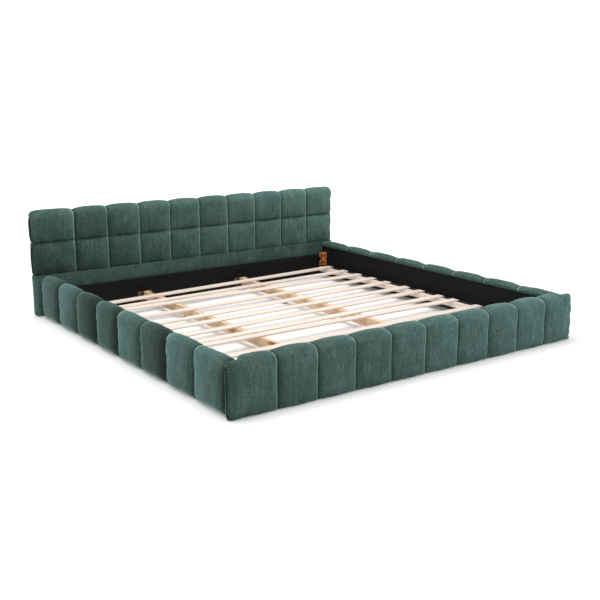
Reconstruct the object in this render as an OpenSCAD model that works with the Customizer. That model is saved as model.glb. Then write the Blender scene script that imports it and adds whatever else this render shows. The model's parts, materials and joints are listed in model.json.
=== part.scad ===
// Low upholstered platform bed for a 200 x 200 cm mattress.
// Origin: on the floor, under the middle of the bed. The headboard is at +Y.

/* [Overall] */
// Width over the two side rails
bed_w = 2200; // [2160:5:2240]
// Length from the foot face to the back of the headboard
bed_l = 2264; // [2264:2:2304]
// Width of the headboard
headboard_w = 2229; // [2229:1:2260]
// Height of the headboard
headboard_h = 640; // [600:5:760]
// Thickness of the headboard
headboard_t = 84; // [76:1:96]
// Clearance between the upholstery and the floor
floor_gap = 5; // [4:1:20]

/* [Rails] */
// Height of the side rails at the crest of a channel
rail_h = 258; // [252:1:300]
// Height of the footboard at the crest of a channel
foot_h = 260; // [255:1:300]
// Distance from the middle of the bed to the lined inner face of a side rail
inner_half_w = 1023; // [1015:1:1030]
// Thickness of the footboard over its upholstery
foot_t = 46; // [42:1:60]
// Thickness of the rail boards
board_t = 20; // [16:1:22]
// Thickness of the black lining fabric
lining_t = 3; // [2:0.5:4]
// Height of the top edge of the black lining on the rails
lining_top = 224; // [200:1:230]
// Height of the black cross rail in front of the headboard
head_rail_h = 165; // [150:1:180]

/* [Channels] */
// Number of channels along each side rail
side_channels = 8; // [6:1:10]
// Number of channels across the footboard and the headboard
cross_channels = 10; // [8:1:10]
// Distance between neighbouring seams of the footboard and the headboard
seam_pitch = 217; // [205:1:222]
// How far the row of those seams sits to the right of the middle
seam_shift = 20; // [0:1:25]
// How far a channel bulges past its seams
channel_bulge = 13; // [6:1:16]
// Height of the lower seam of the headboard tufts
low_seam_z = 251; // [245:1:265]
// Height of the middle seam of the headboard tufts
mid_seam_z = 448; // [430:1:470]

/* [Slats and beams] */
// Length of a slat
slat_l = 2000; // [1960:5:2000]
// Width of a slat
slat_w = 53; // [45:1:53]
// Thickness of a slat
slat_t = 9; // [8:0.5:12]
// Height of the top of the slats
slat_top = 90; // [88:1:110]
// Width of a centre beam
beam_w = 34; // [28:1:45]
// Height of a centre beam
beam_h = 50; // [44:1:50]
// Middle of the left centre beam, left of the middle of the bed
left_beam_x = 420; // [300:5:450]
// Middle of the right centre beam, right of the middle of the bed
right_beam_x = 300; // [300:5:450]

/* [Hardware] */
// Length of a corner bracket's arm along the cross panel
bracket_arm = 46; // [42:1:60]
// Length of a corner bracket's arm along the side rail
bracket_side_arm = 28; // [26:1:40]
// Height of a corner bracket
bracket_h = 96; // [80:1:100]
// Thickness of the corner bracket's plate
bracket_t = 4; // [3:0.5:5]
// Travel of a levelling foot each way
foot_travel = 8; // [4:1:8]
// Radius of a levelling foot's threaded stem
stem_r = 4; // [4:0.5:5]

/* [Hidden] */
$fn = 96;
// How far a cutter runs past the face that it cuts
part_eps = 1;
// How far neighbouring channels run into each other below their seam
seam_lap = 0.5;
// How far the seams of a top sit beside the seams of its face
seam_nudge = 1;

// Faces along the length of the bed
front_y = -bed_l / 2;
foot_back_y = front_y + foot_t;
back_y = bed_l / 2;
headboard_y = back_y - headboard_t;
foot_panel_t = 51;
end_cover = 24;
foot_inner_y = foot_back_y + foot_panel_t + lining_t;
head_rail_y = headboard_y - 22;

// Foam and fabric over the tops of the boards
top_cover = 26;

// Side rails, from the lined inner face outwards
lining_x = inner_half_w;
board_x = lining_x + lining_t;
pad_x = board_x + board_t;
outer_x = bed_w / 2;
board_top = rail_h - top_cover;
board_bottom = floor_gap + 2;
rail_l = headboard_y - foot_back_y;
rail_mid_y = (headboard_y + foot_back_y) / 2;
seam_drop = 14;
long_channel = 1.127;
side_pitch = rail_l / (side_channels - 1 + long_channel);

// Headboard layers
frame_y = headboard_y + 30;
frame_t = 34;
frame_half_w = headboard_w / 2 - 32;
frame_top = headboard_h - top_cover;
frame_bar = 45;
panel_t = 5;
back_cover_t = 3;
pad_back_y = back_y - back_cover_t;
frame_back_y = frame_y + frame_t;

// Supports for the slats and the beams
slat_under = slat_top - slat_t;
ledger_w = 34;
ledger_h = 28;
cleat_w = 42;
ledger_x = lining_x - cleat_w - ledger_w / 2;
cleat_bottom = 22;
ledger_l = 2 * 990;
ledger_mid_y = -4;
beam_front_y = foot_inner_y + 12;
beam_back_y = head_rail_y - 20;
beam_l = beam_back_y - beam_front_y;
beam_mid_y = (beam_back_y + beam_front_y) / 2;
beam_bottom = slat_under - beam_h;

// Loose slats: middle of each slat along the bed, and how far it lies askew in degrees
slat_y = [863, 712, 606, 412, 244, 92, -64, -226, -318, -539, -680, -825, -960];
slat_askew = [3.2, 2.0, -0.8, 1.6, 2.6, 0.8, 1.8, 1.1, -0.9, 0.6, 0.3, -0.4, 0.2];

// Hangers that carry the ends of the beams, and their screws
hanger_t = 3;
hanger_seat = 46;
hanger_flange = 32;
hanger_w = beam_w + 2 * hanger_flange;
hanger_plate_h = 50;
hanger_lip_h = 22;
hanger_screw_x = beam_w / 2 + 18;
hanger_screw_z = beam_bottom + 22;
hanger_screw_r = 2.5;

// Corner brackets, their bolts and the threaded inserts in the rails
bracket_z = 130;
bolt_r = 4;
bolt_hole_r = 4.4;
bolt_head_r = 8;
bolt_head_h = 5;
bolt_l = 18;
bolt_pitch = 46;
insert_r = 6;
insert_l = 16;
fit_gap = 0.05;
socket_r = 2.5;

// Levelling feet under the beams and glides under the rails
foot_y = [-500, 500];
foot_pad_r = 22;
foot_pad_h = 14;
foot_neck_r = 7;
foot_neck_h = 6;
stem_top = 58;
tee_flange_r = 11;
tee_flange_h = 2;
tee_barrel_r = 5.5;
tee_barrel_h = 14;
stem_bore_depth = stem_top + foot_travel + 3 - beam_bottom;
glide_r = 16;
glide_h = floor_gap + 2;

// A box given by its two opposite corners.
module block(low, high) {
    translate(low) cube(high - low);
}

// Seams across the footboard and the headboard, with the ends of a pad of this length.
function cross_edges(length) =
    concat([-length / 2],
           [for (k = [0 : cross_channels - 2])
               seam_shift + (k - (cross_channels - 2) / 2) * seam_pitch],
           [length / 2]);

// Seams along a side rail, with its ends; the channel at the foot is the longest one.
function side_edges() =
    concat([-rail_l / 2],
           [for (k = [side_channels - 1 : -1 : 1]) rail_l / 2 - k * side_pitch],
           [rail_l / 2]);

// The same edges with every seam moved a hair along, so that the arcs of the face and of the
// top never meet in one point.
function nudged(edges) =
    [for (i = [0 : len(edges) - 1])
        edges[i] + (i == 0 || i == len(edges) - 1 ? 0 : seam_nudge)];

// A row of arches standing on y = 0 between the given edges, each one a circular arc over a
// straight base.
module arch_row(edges, base_depth, bulge) {
    last = len(edges) - 2;
    for (i = [0 : last]) {
        pitch = edges[i + 1] - edges[i];
        arch_r = pitch * pitch / (8 * bulge) + bulge / 2;
        left = i == 0 ? 0 : seam_lap;
        right = i == last ? 0 : seam_lap;
        intersection() {
            translate([edges[i] - left, 0])
                square([pitch + left + right, base_depth + bulge]);
            translate([edges[i] + pitch / 2, base_depth + bulge - arch_r])
                circle(r = arch_r, $fn = 360);
        }
    }
}

// A long pad that stands along X from z = 0, with its back on y = 0 and its face at y = -depth.
// The face bulges between the seams, and the top drops by `drop` at each seam.
module channelled_block(edges, depth, height, bulge, drop) {
    intersection() {
        linear_extrude(height = height) mirror([0, 1])
            arch_row(edges, depth - bulge, bulge);
        rotate([90, 0, 0]) linear_extrude(height = depth)
            arch_row(nudged(edges), height - drop, drop);
    }
}

// Headboard

module headboard_frame() {
    bottom = board_bottom;
    color("burlywood") difference() {
        block([-frame_half_w, frame_y, bottom], [frame_half_w, frame_back_y, frame_top]);
        for (side = [-1, 1])
            for (bay = [[bottom + frame_bar, mid_seam_z - frame_bar / 2 - 90],
                        [mid_seam_z + frame_bar / 2 - 90, frame_top - frame_bar]])
                translate([side * frame_half_w / 2, 0, 0])
                    block([-frame_half_w / 2 + frame_bar, frame_y - part_eps, bay[0]],
                          [frame_half_w / 2 - frame_bar, frame_back_y + part_eps, bay[1]]);
    }
}

module headboard_panel() {
    color("peru")
        block([-frame_half_w, frame_y - panel_t, board_bottom], [frame_half_w, frame_y, frame_top]);
}

// The room that a pad leaves for the frame and its panel, between two heights.
module frame_pocket(bottom, top) {
    block([-frame_half_w, frame_y - panel_t, bottom - part_eps],
          [frame_half_w, back_y + part_eps, top]);
}

module headboard_upper_pad() {
    color([0.17, 0.33, 0.29]) difference() {
        translate([0, pad_back_y, mid_seam_z])
            channelled_block(cross_edges(headboard_w), pad_back_y - headboard_y,
                             headboard_h - mid_seam_z, channel_bulge, seam_drop);
        frame_pocket(mid_seam_z, frame_top);
    }
}

module headboard_lower_pad() {
    color([0.17, 0.33, 0.29]) difference() {
        translate([0, pad_back_y, low_seam_z]) linear_extrude(height = mid_seam_z - low_seam_z)
            mirror([0, 1]) arch_row(cross_edges(headboard_w),
                                    pad_back_y - headboard_y - channel_bulge, channel_bulge);
        frame_pocket(low_seam_z, mid_seam_z + part_eps);
    }
}

module headboard_base_pad() {
    half_w = headboard_w / 2 - 2;
    color([0.15, 0.30, 0.26]) difference() {
        block([-half_w, headboard_y + fit_gap, floor_gap], [half_w, pad_back_y, low_seam_z]);
        frame_pocket(floor_gap, low_seam_z + part_eps);
    }
}

module headboard_back_cover() {
    half_w = headboard_w / 2 - 14;
    color([0.15, 0.29, 0.25])
        block([-half_w, pad_back_y, floor_gap + 4], [half_w, back_y, headboard_h - 30]);
}

// Side rails: each is drawn for the right side and mirrored for the left.

module rail_board() {
    color("tan") difference() {
        block([board_x, foot_back_y, board_bottom], [pad_x, headboard_y, board_top]);
        for (end = [-1, 1])
            for (step = [-1, 1])
                translate([board_x, bracket_hole_y(end), bracket_z + step * bolt_pitch / 2])
                    rotate([0, 90, 0]) translate([0, 0, -part_eps])
                        cylinder(r = insert_r, h = insert_l + part_eps);
    }
}

module rail_pad() {
    pad_w = outer_x - lining_x;
    color([0.18, 0.34, 0.30]) difference() {
        translate([lining_x, rail_mid_y, floor_gap]) rotate([0, 0, 90])
            channelled_block(side_edges(), pad_w, rail_h - floor_gap, channel_bulge, seam_drop);
        block([board_x, foot_back_y - part_eps, floor_gap - part_eps],
              [pad_x, headboard_y + part_eps, board_top]);
        block([lining_x - part_eps, foot_back_y - part_eps, floor_gap - part_eps],
              [board_x, headboard_y + part_eps, lining_top]);
    }
}

module rail_lining() {
    color([0.06, 0.06, 0.065]) difference() {
        block([lining_x, foot_back_y, board_bottom], [board_x, headboard_y, lining_top]);
        for (end = [-1, 1])
            for (step = [-1, 1])
                translate([lining_x, bracket_hole_y(end), bracket_z + step * bolt_pitch / 2])
                    rotate([0, 90, 0]) translate([0, 0, -part_eps])
                        cylinder(r = bolt_hole_r, h = lining_t + 2 * part_eps);
    }
}

module cleat() {
    color([0.08, 0.08, 0.08])
        block([lining_x - cleat_w, ledger_mid_y - ledger_l / 2, cleat_bottom],
              [lining_x, ledger_mid_y + ledger_l / 2, slat_under]);
}

module ledger() {
    color([0.86, 0.72, 0.54])
        block([ledger_x - ledger_w / 2, ledger_mid_y - ledger_l / 2, slat_under - ledger_h],
              [ledger_x + ledger_w / 2, ledger_mid_y + ledger_l / 2, slat_under]);
}

// Footboard

module foot_board() {
    color("tan")
        block([-outer_x + end_cover, foot_back_y - board_t, board_bottom],
              [outer_x - end_cover, foot_back_y, foot_h - top_cover]);
}

module foot_pad() {
    lip_drop = seam_drop + 4;
    color([0.18, 0.34, 0.30]) difference() {
        union() {
            translate([0, foot_back_y, floor_gap])
                channelled_block(cross_edges(bed_w), foot_t, foot_h - floor_gap, channel_bulge,
                                 seam_drop);
            block([-lining_x, foot_back_y - part_eps, lining_top],
                  [lining_x, foot_inner_y, foot_h - lip_drop]);
        }
        block([-outer_x + end_cover, foot_back_y - board_t, floor_gap - part_eps],
              [outer_x - end_cover, foot_back_y + part_eps, foot_h - top_cover]);
    }
}

// A box-section beam behind the footboard, with its thicker wall towards the mattress.
module foot_inner_panel() {
    outer_wall = 12;
    inner_wall = 20;
    color("tan") difference() {
        block([-lining_x, foot_back_y, board_bottom],
              [lining_x, foot_back_y + foot_panel_t, lining_top]);
        block([-lining_x - part_eps, foot_back_y + outer_wall, board_bottom + inner_wall],
              [lining_x + part_eps, foot_back_y + foot_panel_t - inner_wall,
               lining_top - inner_wall]);
        cross_bolt_holes(foot_back_y + foot_panel_t, 1);
    }
}

module foot_lining() {
    color([0.06, 0.06, 0.065]) difference() {
        block([-lining_x, foot_back_y + foot_panel_t, board_bottom],
              [lining_x, foot_inner_y, lining_top]);
        cross_bolt_holes(foot_inner_y, 1);
    }
}

// Cross rail in front of the headboard

module head_rail_board() {
    color("tan") difference() {
        block([-lining_x, head_rail_y + lining_t, board_bottom],
              [lining_x, headboard_y, head_rail_h - lining_t]);
        cross_bolt_holes(head_rail_y + lining_t, -1);
    }
}

module head_rail_lining() {
    color([0.06, 0.06, 0.065]) difference() {
        block([-lining_x, head_rail_y, board_bottom], [lining_x, headboard_y, head_rail_h]);
        block([-lining_x - part_eps, head_rail_y + lining_t, board_bottom - part_eps],
              [lining_x + part_eps, headboard_y + part_eps, head_rail_h - lining_t]);
        cross_bolt_holes(head_rail_y, -1);
    }
}

// Holes for the bracket bolts in a cross panel whose lined face is at face_y.
// The bolts point away from the mattress: towards -Y at the foot (inwards = 1).
module cross_bolt_holes(face_y, inwards) {
    for (side = [-1, 1])
        for (step = [-1, 1])
            translate([side * bracket_hole_x(), face_y, bracket_z + step * bolt_pitch / 2])
                rotate([inwards * 90, 0, 0]) translate([0, 0, -part_eps])
                    cylinder(r = insert_r, h = insert_l + part_eps);
}

// Middle of the bolt holes in a bracket's arm along a side rail.
function bracket_hole_y(end) = end > 0 ? head_rail_y - bracket_side_arm + 13
                                       : foot_inner_y + bracket_side_arm - 13;

// Middle of the bolt holes in a bracket's arm along a cross panel.
function bracket_hole_x() = lining_x - bracket_arm + 16;

// Beams and slats

// Middle of the left (side = -1) or right (side = 1) centre beam.
function beam_x(side) = side < 0 ? -left_beam_x : right_beam_x;

module centre_beam(side) {
    color([0.76, 0.58, 0.38]) difference() {
        translate([beam_x(side) - beam_w / 2, beam_front_y, beam_bottom])
            cube([beam_w, beam_l, beam_h]);
        for (y = foot_y)
            translate([beam_x(side), y, beam_bottom - part_eps]) {
                cylinder(r = tee_barrel_r, h = tee_barrel_h + part_eps);
                cylinder(r = stem_r + 1, h = stem_bore_depth + part_eps);
                cylinder(r = tee_flange_r, h = tee_flange_h + part_eps);
            }
    }
}

module slat(i) {
    color([0.90, 0.80, 0.66])
        translate([0, slat_y[i], slat_under]) rotate([0, 0, slat_askew[i]])
            translate([-slat_l / 2, 0, slat_t / 2]) rotate([90, 0, 90])
                linear_extrude(height = slat_l) slat_section();
}

// Section of a slat with its four long edges eased.
module slat_section() {
    ease = 2;
    square([slat_w - 2 * ease, slat_t], center = true);
    square([slat_w, slat_t - 2 * ease], center = true);
    for (x = [-1, 1])
        for (y = [-1, 1])
            translate([x * (slat_w / 2 - ease), y * (slat_t / 2 - ease)])
                circle(r = ease, $fn = 24);
}

// A folded seat plate with a wide back plate, under one end of a beam. It is drawn from the
// wall at y = 0 towards -Y.
module beam_hanger() {
    seat_z = beam_bottom - hanger_t;
    difference() {
        union() {
            block([-hanger_w / 2, -hanger_seat, seat_z], [hanger_w / 2, 0, beam_bottom]);
            block([-hanger_w / 2, -hanger_t, seat_z], [hanger_w / 2, 0, seat_z + hanger_plate_h]);
            for (side = [-1, 1])
                block([side * (beam_w / 2 + 2) - 1, -hanger_seat, seat_z],
                      [side * (beam_w / 2 + 2) + 1, 0, seat_z + hanger_lip_h]);
        }
        for (side = [-1, 1])
            translate([side * hanger_screw_x, 0, hanger_screw_z]) rotate([90, 0, 0])
                cylinder(r = hanger_screw_r + fit_gap, h = 4 * hanger_t, center = true);
    }
}

// Draws its children, made for the head end of a beam at x = 0, at both ends of both beams.
module at_beam_ends() {
    for (side = [-1, 1])
        translate([beam_x(side), 0, 0]) {
            translate([0, head_rail_y, 0]) children();
            translate([0, foot_inner_y, 0]) mirror([0, 1, 0]) children();
        }
}

module beam_hangers() {
    color([0.80, 0.55, 0.30]) at_beam_ends() beam_hanger();
}

// A pan-head screw along +Y with the underside of its head at the origin.
module pan_screw(head_r, head_h, shank_r, shank_l) {
    rotate([-90, 0, 0]) {
        translate([0, 0, -head_h]) cylinder(r = head_r, h = head_h);
        cylinder(r = shank_r, h = shank_l);
    }
}

module hanger_screws() {
    color("silver") at_beam_ends()
        for (side = [-1, 1])
            translate([side * hanger_screw_x, -hanger_t, hanger_screw_z])
                pan_screw(4.5, 2, hanger_screw_r, hanger_t);
}

// Corner hardware: each bracket is drawn for the head's right corner and mirrored.

module corner_bracket() {
    low = bracket_z - bracket_h / 2;
    high = bracket_z + bracket_h / 2;
    waist = 16;
    side_waist = 9;
    color([0.78, 0.42, 0.12]) difference() {
        union() {
            block([lining_x - bracket_arm, head_rail_y - bracket_t, low],
                  [lining_x, head_rail_y, high]);
            block([lining_x - bracket_t, head_rail_y - bracket_side_arm, low],
                  [lining_x, head_rail_y, high]);
        }
        for (step = [-1, 1]) {
            translate([bracket_hole_x(), head_rail_y, bracket_z + step * bolt_pitch / 2])
                rotate([90, 0, 0]) cylinder(r = bolt_hole_r, h = 3 * bracket_t, center = true);
            translate([lining_x, bracket_hole_y(1), bracket_z + step * bolt_pitch / 2])
                rotate([0, 90, 0]) cylinder(r = bolt_hole_r, h = 3 * bracket_t, center = true);
        }
        translate([lining_x - bracket_arm, head_rail_y, bracket_z])
            rotate([90, 0, 0]) cylinder(r = waist, h = 3 * bracket_t, center = true);
        translate([lining_x, head_rail_y - bracket_side_arm, bracket_z])
            rotate([0, 90, 0]) cylinder(r = side_waist, h = 3 * bracket_t, center = true);
    }
}

// Copies its child, drawn for the head's right corner, to another corner.
module at_corner(side, end) {
    mid = end > 0 ? 0 : foot_inner_y + head_rail_y;
    translate([0, mid, 0]) mirror([0, end > 0 ? 0 : 1, 0]) mirror([side > 0 ? 0 : 1, 0, 0])
        children();
}

// A flanged bolt along +Z with its head's underside at the origin.
module bolt() {
    difference() {
        union() {
            translate([0, 0, -bolt_head_h]) cylinder(r = bolt_head_r, h = bolt_head_h);
            cylinder(r = bolt_r, h = bolt_l);
        }
        translate([0, 0, -bolt_head_h - part_eps])
            cylinder(r = socket_r, h = bolt_head_h - 1 + part_eps, $fn = 6);
    }
}

// A threaded insert along +Z with its mouth at the origin.
module insert() {
    difference() {
        cylinder(r = insert_r, h = insert_l);
        translate([0, 0, -part_eps]) cylinder(r = bolt_r + fit_gap, h = insert_l - 1);
    }
}

// Places its child on the two bolt axes of each bracket arm, `depth` behind the lined faces.
module on_bolt_axes(depth) {
    for (side = [-1, 1])
        for (end = [-1, 1])
            at_corner(side, end)
                for (step = [-1, 1]) {
                    translate([bracket_hole_x(), head_rail_y + depth,
                               bracket_z + step * bolt_pitch / 2])
                        rotate([-90, 0, 0]) children();
                    translate([lining_x + depth, bracket_hole_y(1),
                               bracket_z + step * bolt_pitch / 2])
                        rotate([0, 90, 0]) children();
                }
}

module bracket_bolts() {
    color([0.82, 0.48, 0.16]) on_bolt_axes(-bracket_t) bolt();
}

module threaded_inserts() {
    color("silver") on_bolt_axes(lining_t) insert();
}

module cleat_screws() {
    head_r = 4.5;
    head_h = 2;
    color("silver")
        for (side = [-1, 1])
            for (i = [-3 : 3])
                translate([side * ledger_x, i * 300, slat_under - ledger_h - head_h])
                    cylinder(r = head_r, h = head_h);
}

// Feet

module levelling_foot(side, y) {
    color([0.07, 0.07, 0.075]) translate([beam_x(side), y, 0]) {
        cylinder(r = foot_pad_r, h = foot_pad_h);
        translate([0, 0, foot_pad_h]) cylinder(r = foot_neck_r, h = foot_neck_h);
        cylinder(r = stem_r, h = stem_top);
    }
}

module tee_nuts() {
    color("silver")
        for (side = [-1, 1])
            for (y = foot_y)
                translate([beam_x(side), y, beam_bottom]) difference() {
                    union() {
                        cylinder(r = tee_flange_r, h = tee_flange_h);
                        cylinder(r = tee_barrel_r, h = tee_barrel_h);
                    }
                    translate([0, 0, -part_eps])
                        cylinder(r = stem_r + fit_gap, h = tee_barrel_h + 2 * part_eps);
                }
}

module floor_glides() {
    rail_x = (pad_x + board_x) / 2;
    color([0.09, 0.09, 0.09]) {
        for (side = [-1, 1])
            for (y = [-700, 0, 700])
                translate([side * rail_x, y, 0]) glide(board_t - 2);
        for (side = [-1, 1])
            for (x = [0.35, 0.9]) {
                translate([side * x * outer_x, foot_back_y - board_t / 2, 0]) glide(board_t - 2);
                translate([side * x * outer_x, frame_y + frame_t / 2, 0]) glide(frame_t - 4);
            }
    }
}

// A round glide pad, `w` across, that lifts the boards off the floor.
module glide(w) {
    cylinder(r = w / 2, h = glide_h);
}

headboard_frame();
headboard_panel();
headboard_upper_pad();
headboard_lower_pad();
headboard_base_pad();
headboard_back_cover();
mirror([1, 0, 0]) rail_board();  // left_rail_board
mirror([1, 0, 0]) rail_pad();  // left_rail_pad
mirror([1, 0, 0]) rail_lining();  // left_rail_lining
mirror([1, 0, 0]) cleat();  // left_cleat
mirror([1, 0, 0]) ledger();  // left_ledger
rail_board();  // right_rail_board
rail_pad();  // right_rail_pad
rail_lining();  // right_rail_lining
cleat();  // right_cleat
ledger();  // right_ledger
foot_board();
foot_pad();
foot_inner_panel();
foot_lining();
head_rail_board();
head_rail_lining();
centre_beam(-1);  // left_centre_beam
centre_beam(1);  // right_centre_beam
beam_hangers();
hanger_screws();
slat(0);  // slat_01
slat(1);  // slat_02
slat(2);  // slat_03
slat(3);  // slat_04
slat(4);  // slat_05
slat(5);  // slat_06
slat(6);  // slat_07
slat(7);  // slat_08
slat(8);  // slat_09
slat(9);  // slat_10
slat(10);  // slat_11
slat(11);  // slat_12
slat(12);  // slat_13
at_corner(-1, 1) corner_bracket();  // corner_bracket_head_left
at_corner(1, 1) corner_bracket();  // corner_bracket_head_right
at_corner(-1, -1) corner_bracket();  // corner_bracket_foot_left
at_corner(1, -1) corner_bracket();  // corner_bracket_foot_right
bracket_bolts();
threaded_inserts();
cleat_screws();
levelling_foot(-1, foot_y[0]);  // levelling_foot_front_left
levelling_foot(1, foot_y[0]);  // levelling_foot_front_right
levelling_foot(-1, foot_y[1]);  // levelling_foot_back_left
levelling_foot(1, foot_y[1]);  // levelling_foot_back_right
tee_nuts();
floor_glides();
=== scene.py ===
"""Looks of a low upholstered bed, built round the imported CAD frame.

Lengths are in metres. The foot of the bed points to -Y and its left side to -X, as in the frame.
"""

import json
import math

import bmesh
import bpy
import numpy as np
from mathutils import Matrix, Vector, noise


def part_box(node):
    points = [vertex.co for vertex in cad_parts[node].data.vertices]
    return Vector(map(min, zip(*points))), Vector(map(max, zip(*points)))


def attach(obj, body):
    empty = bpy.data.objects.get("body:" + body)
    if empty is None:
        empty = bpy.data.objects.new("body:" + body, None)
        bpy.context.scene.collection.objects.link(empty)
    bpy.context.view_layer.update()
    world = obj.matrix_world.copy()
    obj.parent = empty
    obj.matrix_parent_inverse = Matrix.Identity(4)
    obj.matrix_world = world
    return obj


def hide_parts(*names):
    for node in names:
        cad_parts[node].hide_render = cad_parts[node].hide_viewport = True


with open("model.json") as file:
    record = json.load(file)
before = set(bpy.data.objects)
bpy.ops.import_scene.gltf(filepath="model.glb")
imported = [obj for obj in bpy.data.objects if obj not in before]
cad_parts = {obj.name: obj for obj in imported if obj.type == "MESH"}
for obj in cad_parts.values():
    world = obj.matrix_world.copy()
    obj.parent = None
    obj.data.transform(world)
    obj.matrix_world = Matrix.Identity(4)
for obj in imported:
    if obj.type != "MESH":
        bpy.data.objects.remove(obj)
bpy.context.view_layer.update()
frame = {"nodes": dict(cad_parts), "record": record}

# Camera: where it stands round the bed in degrees, what it looks at, and its lens in millimetres
CAMERA_AZIMUTH = -35.69
CAMERA_ELEVATION = 13.38
CAMERA_DISTANCE = 6.053
CAMERA_TARGET = Vector((0.4306, 0.5055, 0.0))
CAMERA_LENS = 55.85
CAMERA_CLIP = 60

# Studio: each light's place, width and power
LIGHTS = {"key": ((-0.6, 0.3, 5.8), 5.0, 240), "fill": ((-1.5, -5.0, 3.2), 4.0, 40)}
LIGHT_AIM = Vector((0, 0, 0.1))
WALL_STOPS = ((0.05, 0.60), (0.5, 1.0))  # share of the way from -Y to +Y, and how pale it is there
FLOOR_REACH = 40
FLOOR_GREY = 0.80
FLOOR_GLOW = {"From Min": 1.9, "From Max": 4.5, "To Min": 0.10, "To Max": 0.60}

# Materials: the Mix node's sockets for its factor, its two colours and their product
MIX_FACTOR, MIX_FIRST, MIX_SECOND, MIX_RESULT = 0, 6, 7, 2
GRAIN_STRETCH = 0.055  # scale of the grain and of the knots along the timber
KNOT_STRETCH = 0.45
METAL_WEAR = 0.07  # how far a metal's roughness wanders to each side
TUCK_REACH = 0.020  # how far from a seam the velvet's colour still carries painted seam shade

# Channels and seams
SIDE_CHANNELS = 8
CROSS_CHANNELS = 10
LONG_CHANNEL = 1.127  # a rail's channel at the foot, against the others
SEAM_PITCH = 0.217
SEAM_SHIFT = 0.020
SEAM_DEPTH = 0.022
SEAM_LAP = 0.004
SEAM_LIP = 0.003
SEAM_CREASE = 0.75  # how sharp a seam stays when its cover is subdivided
NO_SEAM = 1.0  # the distance to a seam where there is none
MID_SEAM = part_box("headboard_upper_pad")[0].z
LOW_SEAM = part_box("headboard_lower_pad")[0].z
FIT_GAP = 0.0008  # how far a cover's inner side stays off the board
SAME_PLACE = 1e-6

# How a cover is cut into rings and points
RINGS_PER_CHANNEL = 16
RING_CROWDING = 0.62  # how much of their spacing draws toward the seams
SECTION_STEP = 0.013
ARC_FINENESS = 1.6
END_ANGLES = np.linspace(0.15, math.pi / 2, 7)
DOME_SHARES = (0.72, 0.42, 0.12)

# How square a swell is: 2 is round, and more is flatter in the middle
CHANNEL_POWER = 2.5
TUFT_POWER = 2.6
OPEN_END_POWER = 5.0

# Section of the rails' and the foot's covers
TOP_ROUND = 0.032
TOP_SWELL = 0.55
BOTTOM_ROUND = 0.009
BOTTOM_SWELL = 0.2
SWELL_RUN = 0.03  # how far past its roundings the outer face reaches its full swell
UNDER_LAP = 0.008
LIP_ROUND = 0.020
LIP_LAP = 0.005
LIP_EDGE = 0.0005
LIP_STAND = 0.0030
LIP_RISE = 0.008
LIP_RAMP = 0.012  # how wide the step is where the foot's lip passes the rails' linings
SIDE_PUFF = 0.005  # how far the simulation may blow a cover up
FOOT_END_ROUND = 0.015
END_FOOT_H = 0.02
END_FOOT_SHARE = 0.4

# Section of the headboard's covers
TUFT_DEPTH = 0.021
TUFT_ROLL = 0.034
TUFT_BACK_ROUND = 0.014
TUFT_PINCH = 0.007
PINCH_REACH = 3  # in end roundings
HEAD_PUFF = 0.006
HEAD_END_ROUND = 0.024
BASE_FACE = 0.010
BASE_DEPTH = 0.005
BASE_PUFF = 0.003
BASE_END_ROUND = 0.012
FOOT_DOME, TUFT_DOME, BASE_DOME = 0.004, 0.006, 0.003

# Painted light and shade of each rail channel, from the foot to the head
RAIL_TONES = np.array([0.55, 0.54, 0.17, 0.52, 0.23, 0.06, 0.47, 0.36])
# Painted light: how much lighter a rail's channel is at its far edge than at its near one
RAIL_TONE_TURN = 0.30
# Painted shade: how much darker it is just past its near edge, and how much of its length that
# takes
RAIL_TONE_DIP = 0.22
RAIL_TONE_DIP_REACH = 0.10
# Painted shade: how much darker the rail is where the foot's end stands over it
RAIL_FOOT_DIP = 0.42
RAIL_FOOT_REACH = 0.17
# The right rail shows only its top, so its painted light and shade is kept close to one level
RIGHT_RAIL_TONE = 0.50
RIGHT_RAIL_SHARE = 0.15
# Painted light of the first and the last channel of a pad across the bed, and its jitter's seed
FOOT_TONES = (0.37, 0.70, 21)
UPPER_TONES = (0.32, 0.70, 31)
LOWER_TONES = (0.24, 0.60, 32)
TONE_JITTER = 0.04
BASE_TONE = 0.42
BACK_TONE = 0.4
# Painted shade: how much darker the ends of a pad across the bed are
END_TONE_DROP = 0.22
# Painted highlight at a channel's right edge and painted shade at its left, and how wide
FOOT_LIT, FOOT_SHADED = 0.14, 0.20
TUFT_LIT, TUFT_SHADED = 0.30, 0.12
LIT_SHARE, SHADED_SHARE = 0.45, 0.40
# Painted highlight just under the seam between the tufts, and painted light rising from a tuft's
# bottom to its top
TUFT_TOP_LIT = 0.12
TUFT_TOP_REACH = 0.020
TUFT_RISE = 0.18

# Simulation, and the small folds that are laid over its result
SIM_FRAMES = 20
CLOTH = {"quality": 6, "mass": 0.25, "tension_stiffness": 12, "compression_stiffness": 12,
         "shear_stiffness": 6, "bending_stiffness": 0.4, "vertex_group_mass": "pin",
         "use_pressure": True, "uniform_pressure_force": 4.0, "shrink_min": -0.025}
NO_MOVE = 1e-9
PUCKER_REACH = 0.030
PUCKER_CLEAR = 0.004
PUCKER_HEIGHT = 0.0022
WAVE_HEIGHT = 0.0016

# Sheets
SHEET_COLUMN = 0.03  # how long and how high the cells are that it is cut into
SHEET_ROW = 0.012
SHEET_INSET = 0.0016  # how far its face lies behind the CAD sheet's
SHEET_SLACK = 0.0006
SHEET_RIPPLE = 0.0010
SHEET_TUCK = 0.0012
SHEET_TUCK_REACH = 0.006
SHEET_BACK = 0.0004  # how far its back lies inside the CAD sheet's
WRAP_ROUND = 0.004
WRAP_THICK = 0.0022
WRAP_RIPPLE = 0.0004
WRAP_RIPPLE_REACH = 0.02

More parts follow.
